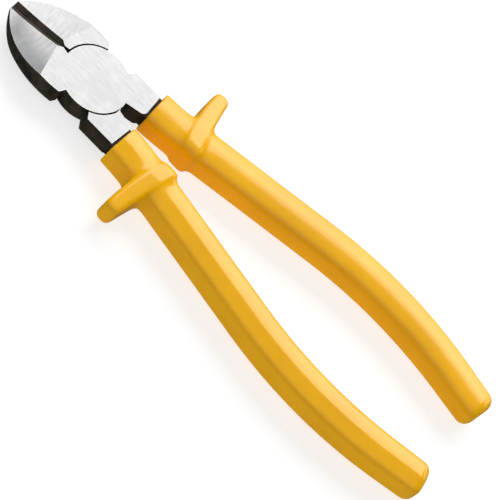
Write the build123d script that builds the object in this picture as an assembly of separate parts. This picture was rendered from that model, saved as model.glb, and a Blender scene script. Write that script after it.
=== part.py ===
from build123d import *
import math
import os

# Insulated diagonal cutters in the closed position, millimetres.
# The rivet axis is +Z. The jaws point along -X and the handles along +X.
# Every feature is drawn about z = 0, the lap plane half way through the head, and for the +Y side
# of the tool; the other side is its mirror image. The whole tool is lifted by half the head's
# thickness at the end, so the origin is on the rivet axis in the underside of the head.
# The upper half has its jaw at -Y, its handle at +Y, and its lap boss above the lap plane.
# The lower half has its jaw at +Y, its handle at -Y, and its lap boss below the lap plane.

# Head
HEAD_HALF = 3.5            # half of the forged thickness
BOSS_RADIUS = 12.0         # round lap boss around the rivet
BOSS_GAP = 0.65            # between one half's boss and the other half's shoulders
LAP_GAP = 0.03             # each lap face stands this far off the plane z = 0

# Jaw outline
TIP_X = -35.0
TIP_HALF = 1.95            # blunt nose, from the centre plane outwards
JAW_SHOULDER = (-22.4, 12.5)
JAW_CROWN = (-12.9, 14.4)
JAW_REAR = (-5.1, 13.9)
JAW_NOTCH = (-3.9, 11.2)
SLIT_TIP = 0.10            # cutting edge to the centre plane, at the nose
SLIT_REAR = 0.30           # and beside the boss
THROAT = (-12.4, 0.85)     # the slit opens out towards this point, behind the cutting edge

# Grinding wheel that hollows both the jaw's facet and its cutting bevel
WHEEL_RADIUS = 130.0
WHEEL_LENGTH = 160.0

# Facet: the wheel's line of contact in plan, from where the facet leaves the flat head face
FACET_INNER = (-16.3, 1.1)
FACET_OUTER = (-15.3, 14.1)
FACET_SLOPE = 0.245        # fall per mm towards the nose, where the facet starts
FACET_FALL = 0.043         # fall per mm of the line of contact towards the outer edge

# Cutting bevel, and the relief below its flush land
EDGE_X = -15.4             # a point on the cutting edge beside the boss
EDGE_Z = 3.19
EDGE_SLOPE = 0.262         # fall per mm of the edge towards the nose, at that point
BEVEL_ANGLE = 21.0         # bevel above the horizontal, degrees
BEVEL_REACH = 5.0          # further from the centre plane than the bevel's upper edge
RELIEF_Z = 2.0             # top of the relief at EDGE_X
RELIEF_SLOPE = 0.18        # its fall per mm towards the nose
RELIEF_ANGLE = 24.0        # relief from the vertical, degrees
CUTTER_SIZE = 80.0

# Underside of the jaws: flat, then an arc up to the nose
BELLY_START = -25.0
NOSE_BOTTOM = -0.75

# Shank and tang
SHANK_NOTCH = (5.45, 10.2)
SHANK_FRONT = (7.3, 13.35)
SHANK_REAR = (18.1, 13.35)
SHANK_INNER_REAR = (18.9, 3.7)
SHANK_INNER_FRONT = (11.4, 1.8)
SHANK_CORNER = 2.0
TANG_STEP = 0.45           # the tang lies this far inside the shank's ground faces and inner side
TANG_HALF_WIDTH = 3.0
TANG_END_SETBACK = 14.0    # sleeve beyond the end of the tang
TANG_NECK = 8.0            # length over which the tang narrows inside the sleeve

# Rivet
RIVET_RADIUS = 3.5
RIVET_HEAD_RADIUS = 4.6
RIVET_HEAD_DEPTH = 1.1
RIVET_RUNNING_FIT = 0.04

# Sleeve: centre line in plan, and section with its first value pointing away from the other handle
GRIP_FRONT = (19.4, 9.6)
GRIP_BEND = (27.0, 10.0)
GRIP_CROWN = (118.4, 27.1)
GRIP_END = (163.4, 18.35)
BEND_RADIUS = 100.0
CROWN_RADIUS = 162.0
GRIP_HALF_HEIGHT = 5.8
GRIP_INNER = -6.9
GRIP_CREASE = 0.6
GRIP_CROWN_RADIUS = 20.0   # of the top and underside, from the crease to the inner side
GRIP_OUTER = 6.4
GRIP_SHOULDER_HEIGHT = 4.35
GRIP_INNER_ROUND = 3.1
GRIP_OUTER_ROUND = 2.0
GRIP_END_ROUND = 3.5
GRIP_SIZES = [(0, 1.03), (0.25, 1.0), (0.7, 1.0), (1, 0.93)]  # share of the length, size of the section

# Finger guard: leaf outline in plan, roof in section
GUARD_INNER = 3.8
GUARD_TIP = 32.2
GUARD_FRONT = [(34.5, 1.8), (31.2, 14.5), (29.75, GUARD_TIP)]
GUARD_REAR = [(35.05, GUARD_TIP), (38.1, 15.5), (41.4, 1.8)]
GUARD_HALF_HEIGHT = 7.0
GUARD_CREASE = 12.8
GUARD_TIP_HALF_HEIGHT = 4.6
GUARD_INNER_ROUND = 4.0
GUARD_TIP_ROUND = 2.3
GUARD_EDGE_ROUND = 1.6


def slit(x):
    """Distance of the cutting edge from the centre plane at x."""
    share = (x - TIP_X) / (-BOSS_RADIUS - TIP_X)
    return SLIT_TIP + (SLIT_REAR - SLIT_TIP) * share


def jaw_plan():
    """Outline of the jaw, closed through the boss."""
    crown_arc = ThreePointArc(JAW_REAR, JAW_CROWN, JAW_SHOULDER)
    cheek_arc = TangentArc(JAW_SHOULDER, (TIP_X, TIP_HALF), tangent=crown_arc % 1)
    rest = Polyline((TIP_X, TIP_HALF), (TIP_X, SLIT_TIP), (EDGE_X, slit(EDGE_X)), THROAT,
                    (0, THROAT[1]), JAW_NOTCH, JAW_REAR)
    return make_face(crown_arc + cheek_arc + rest)


def side_profile():
    """Side view of the jaw: flat faces, with the underside curving up to the nose."""
    rise = NOSE_BOTTOM + HEAD_HALF
    run = BELLY_START - TIP_X
    radius = (run * run + rise * rise) / (2 * rise)
    half_turn = math.asin(run / radius) / 2
    middle = (BELLY_START - radius * math.sin(half_turn),
              -HEAD_HALF + radius * (1 - math.cos(half_turn)))
    belly = ThreePointArc((BELLY_START, -HEAD_HALF), middle, (TIP_X, NOSE_BOTTOM))
    rest = Polyline((TIP_X, NOSE_BOTTOM), (TIP_X, HEAD_HALF), (BOSS_RADIUS, HEAD_HALF),
                    (BOSS_RADIUS, -HEAD_HALF), (BELLY_START, -HEAD_HALF))
    return extrude(Plane.XZ * make_face(belly + rest), amount=2 * BOSS_RADIUS, both=True)


def wheel(point, across, forward):
    """Wheel that touches the plane of two directions at the point, with its axis along the first."""
    normal = across.cross(forward).normalized()
    if normal.Z < 0:
        normal = normal * -1
    return Plane(origin=point + normal * WHEEL_RADIUS, z_dir=across) * Cylinder(WHEEL_RADIUS, WHEEL_LENGTH)


def facet_cutter():
    """Wheel that hollows the jaw's upper face towards the nose."""
    inner = Vector(*FACET_INNER, HEAD_HALF)
    along = (Vector(*FACET_OUTER, HEAD_HALF) - inner).normalized()
    forward = Vector(0, 0, 1).cross(along)
    return wheel(inner, along - Vector(0, 0, FACET_FALL), forward - Vector(0, 0, FACET_SLOPE))


def edge_zone():
    """Room near the centre plane, in front of the boss, where the cutting edge is ground."""
    return Pos(TIP_X, 0, 0) * Box(2 * (-BOSS_RADIUS - TIP_X), 2 * BEVEL_REACH, CUTTER_SIZE)


def bevel_cutter():
    """Wheel that grinds the cutting bevel."""
    angle = math.radians(BEVEL_ANGLE)
    edge = Vector(EDGE_X, slit(EDGE_X), EDGE_Z)
    return edge_zone() & wheel(edge, Vector(0, math.cos(angle), math.sin(angle)), Vector(-1, 0, -EDGE_SLOPE))


def relief_cutter():
    """Relief below the flush land, leaning away from the centre plane."""
    angle = math.radians(RELIEF_ANGLE)
    start = Vector(EDGE_X, slit(EDGE_X), RELIEF_Z)
    edge = Vector(-1, (SLIT_TIP - SLIT_REAR) / (-BOSS_RADIUS - TIP_X), -RELIEF_SLOPE)
    towards_centre = Vector(0, math.sin(angle), -math.cos(angle)).cross(edge).normalized()
    if towards_centre.Y > 0:
        towards_centre = towards_centre * -1
    frame = Plane(origin=start, x_dir=edge, z_dir=towards_centre)
    return edge_zone() & extrude(frame * Rectangle(CUTTER_SIZE, CUTTER_SIZE), amount=CUTTER_SIZE / 4)


def jaw():
    """Full-thickness jaw with its facet, cutting bevel and relief."""
    blank = extrude(jaw_plan(), amount=HEAD_HALF, both=True) & side_profile()
    return blank - facet_cutter() - bevel_cutter() - relief_cutter()


def shank():
    """Full-thickness ground shank, closed through the boss."""
    corners = [SHANK_NOTCH, SHANK_FRONT, SHANK_REAR, SHANK_INNER_REAR, SHANK_INNER_FRONT, (0, 4)]
    face = make_face(Polyline(*corners, close=True))
    inner_rear = face.vertices().sort_by_distance(SHANK_INNER_REAR)[0]
    return extrude(fillet(inner_rear, SHANK_CORNER), amount=HEAD_HALF, both=True)


def centre_line(setback):
    """Centre line of the handle, ending short of the sleeve's end by the setback."""
    tail = (Vector(*GRIP_END) - Vector(*GRIP_CROWN)).normalized()
    end = Vector(*GRIP_END) - tail * setback
    return FilletPolyline(GRIP_FRONT, GRIP_BEND, GRIP_CROWN, (end.X, end.Y),
                          radius=[BEND_RADIUS, CROWN_RADIUS])


def across_line(line, share):
    """Plane across a centre line, part of the way along, with its x pointing away from the other handle."""
    along = line % share
    return Plane(origin=line @ share, x_dir=Vector(0, 0, 1).cross(along), z_dir=along)


def tang():
    """Bar inside the sleeve, with the wider neck that joins it to the shank."""
    height = 2 * (HEAD_HALF - TANG_STEP)
    line = centre_line(TANG_END_SETBACK)
    bar = sweep(across_line(line, 0) * Rectangle(2 * TANG_HALF_WIDTH, height), path=line)
    root_x = SHANK_REAR[0] - SHANK_CORNER
    outer = SHANK_REAR[1]
    inner = SHANK_INNER_REAR[1] + TANG_STEP
    neck = [(root_x, outer), (GRIP_FRONT[0] + 1, outer),
            (GRIP_FRONT[0] + TANG_NECK, GRIP_BEND[1] + TANG_HALF_WIDTH),
            (GRIP_FRONT[0] + TANG_NECK, GRIP_BEND[1] - TANG_HALF_WIDTH),
            (GRIP_FRONT[0] + 1, inner), (root_x, inner)]
    return bar + extrude(make_face(Polyline(*neck, close=True)), amount=height / 2, both=True)


def rivet(clearance):
    """Rivet with a flush countersunk head at each end, enlarged all round by the clearance."""
    shank_radius = RIVET_RADIUS + clearance
    head_radius = RIVET_HEAD_RADIUS + clearance
    head_middle = HEAD_HALF - RIVET_HEAD_DEPTH / 2
    top = Pos(0, 0, head_middle) * Cone(shank_radius, head_radius, RIVET_HEAD_DEPTH)
    bottom = Pos(0, 0, -head_middle) * Cone(head_radius, shank_radius, RIVET_HEAD_DEPTH)
    return Cylinder(shank_radius, 2 * HEAD_HALF) + top + bottom


def lap_pocket():
    """Room for the other half's boss, below z = 0."""
    depth = 2 * HEAD_HALF
    return Pos(0, 0, LAP_GAP - depth / 2) * Cylinder(BOSS_RADIUS + BOSS_GAP, depth)


def upper_half():
    """Jaw at -Y, handle at +Y, boss above the lap plane."""
    solid = mirror(jaw(), about=Plane.XZ) + shank() + Cylinder(BOSS_RADIUS, 2 * HEAD_HALF)
    return solid - lap_pocket() + tang() - rivet(0)


def lower_half():
    """Jaw at +Y, handle at -Y, boss below the lap plane."""
    handle = mirror(shank(), about=Plane.XZ)
    solid = jaw() + handle + Cylinder(BOSS_RADIUS, 2 * HEAD_HALF)
    solid = solid - mirror(lap_pocket(), about=Plane.XY)
    return solid + mirror(tang(), about=Plane.XZ) - rivet(RIVET_RUNNING_FIT)


def grip_section():
    """Section of the sleeve: crowned towards the inner side, a sloping roof, and a flat outer side."""
    run = GRIP_CREASE - GRIP_INNER
    fall = GRIP_CROWN_RADIUS - math.sqrt(GRIP_CROWN_RADIUS ** 2 - run ** 2)
    inner_height = GRIP_HALF_HEIGHT - fall
    top = TangentArc((GRIP_CREASE, GRIP_HALF_HEIGHT), (GRIP_INNER, inner_height), tangent=(-1, 0))
    outline = [(GRIP_INNER, inner_height), (GRIP_INNER, -inner_height)]
    roof = [(GRIP_CREASE, -GRIP_HALF_HEIGHT), (GRIP_OUTER, -GRIP_SHOULDER_HEIGHT),
            (GRIP_OUTER, GRIP_SHOULDER_HEIGHT), (GRIP_CREASE, GRIP_HALF_HEIGHT)]
    section = make_face(top + Polyline(*outline) + mirror(top, about=Plane.XZ) + Polyline(*roof))
    section = fillet(section.vertices().group_by(Axis.X)[0], GRIP_INNER_ROUND)
    return fillet(section.vertices().group_by(Axis.X)[-1], GRIP_OUTER_ROUND)


def grip_body():
    """Sleeve without its guard, tapered along the centre line and rounded at its end."""
    line = centre_line(0)
    sections = [across_line(line, share) * scale(grip_section(), size) for share, size in GRIP_SIZES]
    body = sweep(sections, path=line, multisection=True)
    return fillet(body.faces().sort_by(Axis.X)[-1].edges(), GRIP_END_ROUND)


def guard():
    """Leaf-shaped finger guard: plan outline cut by its roof section."""
    front = ThreePointArc(*GUARD_FRONT)
    rear = ThreePointArc(*GUARD_REAR)
    leaf = make_face(front + Line(front @ 1, rear @ 0) + rear + Line(rear @ 1, front @ 0))
    leaf = fillet(leaf.vertices().sort_by(Axis.Y)[-2:], GUARD_TIP_ROUND)
    plate = extrude(leaf, amount=2 * GUARD_HALF_HEIGHT, both=True)
    roof = [(GUARD_INNER, GUARD_HALF_HEIGHT), (GUARD_CREASE, GUARD_HALF_HEIGHT),
            (GUARD_TIP, GUARD_TIP_HALF_HEIGHT), (GUARD_TIP, -GUARD_TIP_HALF_HEIGHT),
            (GUARD_CREASE, -GUARD_HALF_HEIGHT), (GUARD_INNER, -GUARD_HALF_HEIGHT)]
    roof_face = make_face(Polyline(*roof, close=True))
    roof_face = fillet(roof_face.vertices().group_by(Axis.X)[0], GUARD_INNER_ROUND)
    solid = plate & extrude(Plane.YZ * roof_face, amount=2 * GUARD_REAR[-1][0])
    return fillet(solid.edges(), GUARD_EDGE_ROUND)


def grip():
    """Moulded sleeve with its finger guard, hollow around the tang."""
    return grip_body() + guard() - tang()


NODES = {
    "upper_half": upper_half(),
    "lower_half": lower_half(),
    "pivot_rivet": rivet(0),
    "upper_grip": grip(),
    "lower_grip": mirror(grip(), about=Plane.XZ),
}

os.makedirs("parts", exist_ok=True)
for name, shape in NODES.items():
    export_step(Pos(0, 0, HEAD_HALF) * shape, f"parts/{name}.step")
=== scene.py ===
import math

import bmesh
import bpy
import numpy as np
from mathutils import Matrix, Vector


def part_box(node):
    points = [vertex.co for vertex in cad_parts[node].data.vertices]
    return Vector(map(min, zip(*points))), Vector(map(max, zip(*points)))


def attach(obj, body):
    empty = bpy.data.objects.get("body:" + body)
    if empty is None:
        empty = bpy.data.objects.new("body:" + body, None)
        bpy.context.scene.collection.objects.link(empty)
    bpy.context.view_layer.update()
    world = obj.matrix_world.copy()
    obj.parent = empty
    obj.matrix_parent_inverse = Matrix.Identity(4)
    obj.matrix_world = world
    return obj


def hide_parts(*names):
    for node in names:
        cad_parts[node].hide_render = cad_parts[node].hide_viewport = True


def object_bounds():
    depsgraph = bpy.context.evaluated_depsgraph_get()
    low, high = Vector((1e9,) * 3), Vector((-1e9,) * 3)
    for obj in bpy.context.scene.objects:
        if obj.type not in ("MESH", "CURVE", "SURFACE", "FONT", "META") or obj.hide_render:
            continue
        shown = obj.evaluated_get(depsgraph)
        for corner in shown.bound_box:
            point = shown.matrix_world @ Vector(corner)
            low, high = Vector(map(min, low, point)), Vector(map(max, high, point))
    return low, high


# Insulated diagonal cutters, lying closed on a pale floor. Metres, in the frame of the CAD model:
# the rivet axis is +Z through the origin, the jaws point along -X and the handles along +X.

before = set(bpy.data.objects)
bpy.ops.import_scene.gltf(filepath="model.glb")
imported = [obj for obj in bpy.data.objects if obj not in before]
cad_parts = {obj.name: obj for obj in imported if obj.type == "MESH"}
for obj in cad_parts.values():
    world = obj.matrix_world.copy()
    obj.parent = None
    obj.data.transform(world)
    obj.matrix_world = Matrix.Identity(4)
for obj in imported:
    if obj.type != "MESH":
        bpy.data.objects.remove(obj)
cad_low, cad_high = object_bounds()

MM = 0.001

# Middle plane of the head, where the two halves lap, read from the frame
HEAD_LOW, HEAD_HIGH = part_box("upper_half")
LAP_Z = (HEAD_LOW.z + HEAD_HIGH.z) / 2

# Where the grinding wheel reaches: (0 at, 1 at) pairs for Shader.step
LEVEL_NZ = (0.72, 0.78)  # surfaces that face up or down
LEVEL_NY = (0.22, 0.16)  # and don't lean sideways
OUTER_HEIGHT = (3.3 * MM, 3.4 * MM)  # the outer faces, as a distance from the lap plane
LAP_HEIGHT = (0.2 * MM, 0.15 * MM)  # the lap faces
JAW_X = (-3 * MM, -3.5 * MM)  # everything on the jaws
FACET_NX = (-0.05, -0.08)  # the facets, which lean towards the nose

# Lines left by the wheel: the noise scale across them on the flats and on the facets, where they
# swing in arcs. There are coarse and thin lines, with a scale along, a factor across and a share.
FLAT_LINES = 5200.0
FACET_LINES = 4600.0
SWING = 12.0
COARSE_ALONG, COARSE_ACROSS, COARSE_SHARE = 90.0, 0.5, 0.4
THIN_ALONG, THIN_ACROSS, THIN_SHARE = 160.0, 1.0, 0.6
THIN_LAYER = 3.0  # another slice of the noise than the coarse lines'

# Painted shade on the near jaw's facet: strongest at its outer rim, which is a curve, none at the
# nose
RIM_X = -12.9 * MM
RIM_CURVE = 25.5
RIM_FADE = (4.0 * MM, 13.2 * MM)
NOSE_FADE = (-34.5 * MM, -29 * MM)
FACET_SHADE = 0.65

# Edges: their width, and the cosine between the rounded and the true normal off and on them
EDGE_RADIUS = 0.22 * MM
EDGE_SAMPLES = 6
EDGE_COSINE = (0.985, 0.90)
ABOVE_LAP = (0.3 * MM, 0.5 * MM)
OFF_RIVET = (26 * MM * MM, 40 * MM * MM)  # square of the distance from the rivet's axis

# Sleeves: remesh, rounds and steps that grow the fillets, rounding of the edges
SLEEVE_VOXEL = 0.4 * MM
FILLET_ROUNDS = 14
FILLET_STEPS = 10
FILLET_PULL = 0.6
SMOOTH_FACTOR = 0.5
EDGE_ROUNDING = 7
GUARD_ROUNDING = 14

# Guards: the middle of them and how far their rounding reaches and fades along the sleeve
GUARD_X = 35.5 * MM
GUARD_REACH = 10 * MM
GUARD_FADE = 3 * MM

# Screen colours, 0 to 255
GROUND_FLAT = (134, 134, 134)
GROUND_FACET = (126, 126, 126)
GROUND_LINE = (156, 156, 156)
GROUND_CLOUD = (171, 171, 172)
# Painted highlight along the rims of the ground faces
GROUND_EDGE_HIGHLIGHT = (222, 220, 214)
# Painted shade for the near jaw's facet
PAINTED_FACET_SHADE = (78, 80, 82)
SCALE_DARK = (34, 29, 22)
SCALE_PALE = (60, 52, 41)
# Worn scale on the edges, made lighter as a painted edge highlight as well
SCALE_WORN_HIGHLIT = (120, 115, 105)
PLASTIC_DEEP = (242, 176, 1)
PLASTIC_PALE = (249, 183, 2)
FLOOR_DARK = (156, 156, 156)
FLOOR_PALE = (164, 164, 164)
WHITE = (255, 255, 255)

# Noise patterns: scale, detail, roughness
COARSE_LINES = (1.0, 3.0, 0.6)
THIN_LINES = (1.0, 2.0, 0.6)
CLOUDS = (220.0, 4.0, 0.55)
GRIT = (5200.0, 3.0, 0.6)
MOULD_GRAIN = (3300.0, 3.0, 0.55)
DRIFT = (60.0, 3.0, 0.5)
FLOOR_TONE = (14.0, 4.0, 0.5)

# Camera
CAMERA_PLACE = Vector((0.03334, -0.57894, 0.76045))
CAMERA_FORWARD = Vector((0.04133, 0.60625, -0.79420))
CAMERA_UP = Vector((-0.71411, 0.57387, 0.40091))
CAMERA_LENS = 216.0
CAMERA_SENSOR = 36.0
CAMERA_CLIP = (0.05, 20.0)

# Studio
STUDIO_MIDDLE = Vector((0.06, 0.0, 0.0))
FLOOR_HALF = 4.0
FLOOR_SQUARES = 8
PANEL_DISTANCE = 1.4
PANELS = (  # name, azimuth, elevation, spread across and up in degrees, radiance
    ("softbox", -10.0, 43.5, (56.0, 37.0), 4.45),
    ("front_softbox", 180.0, 50.0, (110.0, 70.0), 0.40),
    ("low_back", 0.0, 17.0, (110.0, 18.0), 2.0),
    ("top_fill", 0.0, 88.0, (70.0, 70.0), 0.43),
    ("left_fill", -110.0, 32.0, (50.0, 40.0), 0.1),
    ("right_fill", 110.0, 32.0, (50.0, 40.0), 0.1),
)
ROOM_COLOUR = (0.96, 0.98, 1.0, 1.0)
ROOM_STRENGTH = 0.07


class Shader:
    """A material's node tree, with short calls that add nodes and link them."""

    def __init__(self, name):
        self.material = bpy.data.materials.new(name)
        self.material.use_nodes = True
        self.nodes = self.material.node_tree.nodes
        self.links = self.material.node_tree.links
        self.surface = self.nodes["Principled BSDF"]
        coordinates = self.nodes.new("ShaderNodeTexCoord")
        self.place = coordinates.outputs["Object"]
        self.x, self.y, self.z = self.split(self.place)
        self.nx, self.ny, self.nz = self.split(coordinates.outputs["Normal"])

    def put(self, socket, value):
        """Links a node's output to the socket, or sets the socket to a constant."""
        if isinstance(value, bpy.types.NodeSocket):
            self.links.new(value, socket)
        else:
            socket.default_value = value

    def set(self, name, value):
        """Sets or links an input of the material's own shader."""
        self.put(self.surface.inputs[name], value)

    def split(self, vector):
        node = self.nodes.new("ShaderNodeSeparateXYZ")
        self.put(node.inputs[0], vector)
        return node.outputs

    def math(self, operation, first, second=0.0):
        node = self.nodes.new("ShaderNodeMath")
        node.operation = operation
        for socket, value in zip(node.inputs, (first, second)):
            self.put(socket, value)
        return node.outputs[0]

    def absolute(self, value):
        return self.math("ABSOLUTE", value)

    def product(self, first, *others):
        for other in others:
            first = self.math("MULTIPLY", first, other)
        return first

    def step(self, value, low, high):
        """0 at low, 1 at high, smooth between and level beyond; low may be above high."""
        node = self.nodes.new("ShaderNodeMapRange")
        node.interpolation_type = "SMOOTHSTEP"
        if low <= high:
            ends = (low, high, 0.0, 1.0)
        else:
            ends = (high, low, 1.0, 0.0)
        for socket, number in zip(node.inputs, (value, *ends)):
            self.put(socket, number)
        return node.outputs[0]

    def vector(self, x, y, z):
        node = self.nodes.new("ShaderNodeCombineXYZ")
        for socket, value in zip(node.inputs, (x, y, z)):
            self.put(socket, value)
        return node.outputs[0]

    def noise(self, place, scale, detail, roughness):
        node = self.nodes.new("ShaderNodeTexNoise")
        self.put(node.inputs["Vector"], place)
        node.inputs["Scale"].default_value = scale
        node.inputs["Detail"].default_value = detail
        node.inputs["Roughness"].default_value = roughness
        return node.outputs["Fac"]

    def mix(self, share, first, second):
        """Colour between two colours."""
        node = self.nodes.new("ShaderNodeMix")
        node.data_type = "RGBA"
        self.put(node.inputs[0], share)
        self.put(node.inputs[6], first)
        self.put(node.inputs[7], second)
        return node.outputs[2]

    def blend(self, share, first, second):
        """Number between two numbers."""
        node = self.nodes.new("ShaderNodeMix")
        self.put(node.inputs[0], share)
        self.put(node.inputs[2], first)
        self.put(node.inputs[3], second)
        return node.outputs[0]

    def bump(self, height, strength, distance):
        node = self.nodes.new("ShaderNodeBump")
        self.put(node.inputs["Height"], height)
        self.put(node.inputs["Strength"], strength)
        node.inputs["Distance"].default_value = distance
        self.set("Normal", node.outputs[0])

    def edges(self):
        """Near 1 on sharp edges and 0 on flats."""
        bevel = self.nodes.new("ShaderNodeBevel")
        bevel.samples = EDGE_SAMPLES
        bevel.inputs["Radius"].default_value = EDGE_RADIUS
        flat = self.nodes.new("ShaderNodeNewGeometry")
        dot = self.nodes.new("ShaderNodeVectorMath")
        dot.operation = "DOT_PRODUCT"
        self.links.new(bevel.outputs[0], dot.inputs[0])
        self.links.new(flat.outputs["Normal"], dot.inputs[1])
        return self.step(dot.outputs["Value"], *EDGE_COSINE)


def colour(screen):
    """Linear colour, with full opacity, from a screen colour (the sRGB curve)."""
    shares = [value / 255 for value in screen]
    linear = [share / 12.92 if share <= 0.04045 else ((share + 0.055) / 1.055) ** 2.4
              for share in shares]
    return (*linear, 1.0)


def streaks(shader, along, across, fine):
    """Grinding lines along one direction: long in one coordinate and narrow in the other."""
    coarse_place = shader.vector(shader.product(along, COARSE_ALONG),
                                 shader.product(across, fine * COARSE_ACROSS), 0.0)
    thin_place = shader.vector(shader.product(along, THIN_ALONG),
                               shader.product(across, fine * THIN_ACROSS), THIN_LAYER)
    coarse = shader.noise(coarse_place, *COARSE_LINES)
    thin = shader.noise(thin_place, *THIN_LINES)
    return shader.math("ADD", shader.product(coarse, COARSE_SHARE),
                       shader.product(thin, THIN_SHARE))


def forged_steel(name, facet_shade=0.0):
    """Bright ground flats and jaw facets; dark scale on everything that the wheel did not reach."""
    shader = Shader(name)
    height = shader.absolute(shader.math("SUBTRACT", shader.z, LAP_Z))
    side = shader.absolute(shader.y)

    # Share of ground metal, and of jaw facet in it
    flat = shader.product(shader.step(shader.absolute(shader.nz), *LEVEL_NZ),
                          shader.step(shader.absolute(shader.ny), *LEVEL_NY))
    lap_or_jaw = shader.math("MAXIMUM", shader.step(height, *LAP_HEIGHT),
                             shader.step(shader.x, *JAW_X))
    reached = shader.math("MAXIMUM", shader.step(height, *OUTER_HEIGHT), lap_or_jaw)
    ground = shader.product(flat, reached)
    facet = shader.step(shader.nx, *FACET_NX)

    # Grinding lines: along the tool on the flats, in arcs across it on the facets
    lengthwise = streaks(shader, shader.x, shader.y, FLAT_LINES)
    swing = shader.math("ADD", shader.x,
                        shader.product(shader.math("POWER", side, 2.0), SWING))
    crosswise = streaks(shader, side, swing, FACET_LINES)
    lines = shader.blend(facet, lengthwise, crosswise)
    clouds = shader.noise(shader.place, *CLOUDS)

    # Ground metal
    dark = shader.mix(facet, colour(GROUND_FLAT), colour(GROUND_FACET))
    bright = shader.mix(shader.step(lines, 0.3, 0.7), dark, colour(GROUND_LINE))
    pale_clouds = shader.product(shader.step(clouds, 0.4, 0.7), 0.2)
    bright = shader.mix(pale_clouds, bright, colour(GROUND_CLOUD))

    # Painted shade on the near jaw's facet, mottled by the clouds
    rear = shader.math("SUBTRACT", shader.x, RIM_X)
    rim = shader.math("ADD", side, shader.product(rear, rear, RIM_CURVE))
    mottled = shader.blend(shader.step(clouds, 0.35, 0.65), 0.72, 1.0)
    painted_facet_shade = shader.product(facet, shader.step(rim, *RIM_FADE),
                               shader.step(shader.x, *NOSE_FADE), mottled, facet_shade)
    bright = shader.mix(painted_facet_shade, bright, colour(PAINTED_FACET_SHADE))

    # Scale, worn off along its edges and lightened there as a painted edge highlight, and a painted
    # highlight on the rim of the ground faces
    scale = shader.mix(shader.step(clouds, 0.3, 0.7), colour(SCALE_DARK), colour(SCALE_PALE))
    edge = shader.edges()
    worn_highlit_edge = shader.product(edge, shader.step(height, *ABOVE_LAP), 0.6)
    scale = shader.mix(worn_highlit_edge, scale, colour(SCALE_WORN_HIGHLIT))
    from_axis = shader.math("ADD", shader.product(shader.x, shader.x), shader.product(side, side))
    painted_rim_highlight = shader.product(edge, shader.step(from_axis, *OFF_RIVET), 0.5)
    bright = shader.mix(painted_rim_highlight, bright, colour(GROUND_EDGE_HIGHLIGHT))

    shader.set("Base Color", shader.mix(ground, scale, bright))
    shader.set("Metallic", ground)
    shader.set("Specular IOR Level", 0.2)
    shader.set("Roughness", shader.blend(ground, shader.blend(clouds, 0.62, 0.8),
                                         shader.blend(lines, 0.38, 0.48)))
    grit = shader.noise(shader.place, *GRIT)
    shader.bump(shader.blend(ground, grit, lines), shader.blend(ground, 0.35, 0.1), 0.06 * MM)
    return shader.material


def moulded_plastic(name):
    """Satin yellow insulation with a faint moulded grain."""
    shader = Shader(name)
    grain = shader.noise(shader.place, *MOULD_GRAIN)
    drift = shader.noise(shader.place, *DRIFT)
    shader.set("Base Color", shader.mix(shader.step(drift, 0.3, 0.7),
                                        colour(PLASTIC_DEEP), colour(PLASTIC_PALE)))
    shader.set("Roughness", shader.blend(grain, 0.16, 0.24))
    shader.set("Specular IOR Level", 0.37)
    shader.set("Coat Weight", 0.08)
    shader.set("Coat Roughness", 0.18)
    shader.set("IOR", 1.5)
    shader.bump(grain, 0.25, 0.03 * MM)
    return shader.material


def floor_material():
    """Matt pale ground that also glows a little, so that it renders nearly white."""
    shader = Shader("pale_floor")
    tone = shader.noise(shader.place, *FLOOR_TONE)
    shader.set("Base Color", shader.mix(tone, colour(FLOOR_DARK), colour(FLOOR_PALE)))
    shader.set("Roughness", shader.blend(tone, 0.75, 0.85))
    shader.set("Specular IOR Level", 0.1)
    shader.set("Emission Color", colour(WHITE))
    shader.set("Emission Strength", 0.72)
    return shader.material


def evaluated_mesh(piece):
    """The piece's mesh with its modifiers applied."""
    bpy.context.view_layer.update()
    evaluated = piece.evaluated_get(bpy.context.evaluated_depsgraph_get())
    return bpy.data.meshes.new_from_object(evaluated)


def fill_hollows(mesh):
    """Moves each point that lies in a hollow outwards, which leaves a soft fillet there only."""
    count = len(mesh.vertices)
    ends = np.empty(2 * len(mesh.edges), dtype=np.int32)
    mesh.edges.foreach_get("vertices", ends)
    first, second = ends[0::2], ends[1::2]
    neighbours = np.bincount(ends, minlength=count)
    places = np.empty(3 * count, dtype=np.float64)
    normals = np.empty(3 * count, dtype=np.float64)
    mesh.vertices.foreach_get("co", places)
    places = places.reshape(count, 3)
    for _ in range(FILLET_ROUNDS):
        mesh.vertex_normals.foreach_get("vector", normals)
        outward = normals.reshape(count, 3)
        for _ in range(FILLET_STEPS):
            total = np.stack([np.bincount(first, places[second, axis], count)
                              + np.bincount(second, places[first, axis], count)
                              for axis in range(3)], axis=1)
            rise = ((total / neighbours[:, None] - places) * outward).sum(axis=1)
            places = places + FILLET_PULL * np.maximum(rise, 0.0)[:, None] * outward
        mesh.vertices.foreach_set("co", places.ravel())
        mesh.update()


def guard_share(x):
    """1 over the guard and its roots, falling to 0 on the plain sleeve before and behind it."""
    return min(max((GUARD_REACH - abs(x - GUARD_X)) / GUARD_FADE, 0.0), 1.0)


def add_smoothing(piece, name, rounds, group=""):
    """Rounds the whole piece, or the part of it that the vertex group covers."""
    modifier = piece.modifiers.new(name, "SMOOTH")
    modifier.factor = SMOOTH_FACTOR
    modifier.iterations = rounds
    modifier.vertex_group = group


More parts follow.
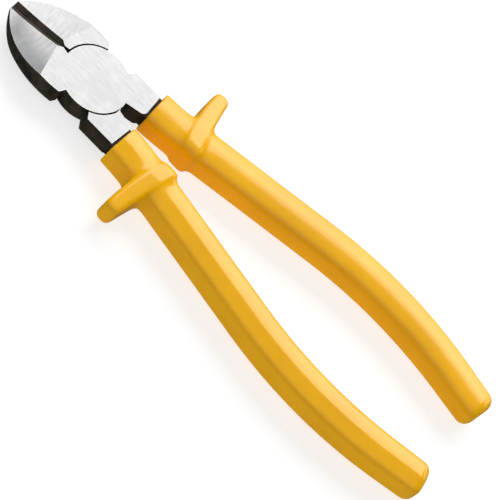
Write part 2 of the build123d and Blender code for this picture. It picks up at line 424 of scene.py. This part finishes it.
def moulded_sleeve(node, body, material):
    """Sleeve with its guard blended into it by soft roots, in place of the plain CAD solid."""
    piece = bpy.data.objects.new(node + "_moulded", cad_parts[node].data.copy())
    bpy.context.scene.collection.objects.link(piece)
    remesh = piece.modifiers.new("skin", "REMESH")
    remesh.mode = "VOXEL"
    remesh.voxel_size = SLEEVE_VOXEL
    piece.data = evaluated_mesh(piece)
    piece.modifiers.clear()
    fill_hollows(piece.data)
    guard = piece.vertex_groups.new(name="guard")
    for point in piece.data.vertices:
        guard.add([point.index], guard_share(point.co.x), "REPLACE")
    add_smoothing(piece, "relax", EDGE_ROUNDING)
    add_smoothing(piece, "soften", GUARD_ROUNDING, guard.name)
    piece.data = evaluated_mesh(piece)
    piece.modifiers.clear()
    piece.data.materials.clear()
    piece.data.materials.append(material)
    piece.data.shade_smooth()
    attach(piece, body)
    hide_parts(node)


def paint(node, material):
    """Gives a CAD node its material."""
    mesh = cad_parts[node].data
    mesh.materials.clear()
    mesh.materials.append(material)


def panel(name, azimuth, elevation, spread, radiance):
    """Soft light that fills spread (across, up) degrees of the sky round the tool.

    Azimuth 0 is over +Y and 90 over +X.
    """
    turn, rise = math.radians(azimuth), math.radians(elevation)
    level = math.cos(rise)
    outward = Vector((math.sin(turn) * level, math.cos(turn) * level, math.sin(rise)))
    data = bpy.data.lights.new(name, "AREA")
    data.shape = "RECTANGLE"
    data.size, data.size_y = (2 * PANEL_DISTANCE * math.tan(math.radians(angle) / 2)
                              for angle in spread)
    data.energy = radiance * math.pi * data.size * data.size_y
    lamp = bpy.data.objects.new(name, data)
    lamp.location = STUDIO_MIDDLE + PANEL_DISTANCE * outward
    lamp.rotation_mode = "QUATERNION"
    lamp.rotation_quaternion = (-outward).to_track_quat("-Z", "Y")
    bpy.context.scene.collection.objects.link(lamp)


def camera():
    """The photo's viewing angle."""
    data = bpy.data.cameras.new("camera")
    data.lens = CAMERA_LENS
    data.sensor_width = CAMERA_SENSOR
    data.clip_start, data.clip_end = CAMERA_CLIP
    view = bpy.data.objects.new("camera", data)
    right = CAMERA_FORWARD.cross(CAMERA_UP).normalized()
    up = right.cross(CAMERA_FORWARD).normalized()
    turn = Matrix((right, up, -CAMERA_FORWARD.normalized())).transposed()
    view.matrix_world = Matrix.Translation(CAMERA_PLACE) @ turn.to_4x4()
    bpy.context.scene.collection.objects.link(view)
    bpy.context.scene.camera = view


def floor():
    """Plain floor under the tool, left out of its reflections."""
    mesh = bpy.data.meshes.new("floor")
    shape = bmesh.new()
    bmesh.ops.create_grid(shape, x_segments=FLOOR_SQUARES, y_segments=FLOOR_SQUARES,
                          size=FLOOR_HALF)
    shape.to_mesh(mesh)
    shape.free()
    piece = bpy.data.objects.new("floor", mesh)
    piece.location.z = cad_low.z
    mesh.materials.append(floor_material())
    piece.visible_glossy = False
    bpy.context.scene.collection.objects.link(piece)


def studio():
    """Panels of soft light and a dim room.

    The softbox stands behind the tool, where the ground flats mirror it to the camera, and
    low_back where the sloping outer side of the upper sleeve does. The others light the rest.
    """
    for name, azimuth, elevation, spread, radiance in PANELS:
        panel(name, azimuth, elevation, spread, radiance)
    world = bpy.data.worlds.new("room")
    world.use_nodes = True
    bpy.context.scene.world = world
    background = world.node_tree.nodes["Background"]
    background.inputs["Color"].default_value = ROOM_COLOUR
    background.inputs["Strength"].default_value = ROOM_STRENGTH


plastic = moulded_plastic("sleeve_plastic")
# The near jaw's steel carries painted shade on its facet, darkest at the facet's outer rim
paint("upper_half", forged_steel("shaded_facet_steel", FACET_SHADE))
paint("lower_half", forged_steel("forged_steel"))
paint("pivot_rivet", forged_steel("rivet_steel"))
moulded_sleeve("upper_grip", "upper_lever", plastic)
moulded_sleeve("lower_grip", "lower_lever", plastic)
floor()
studio()
camera()

bpy.context.scene.view_settings.view_transform = "Standard"
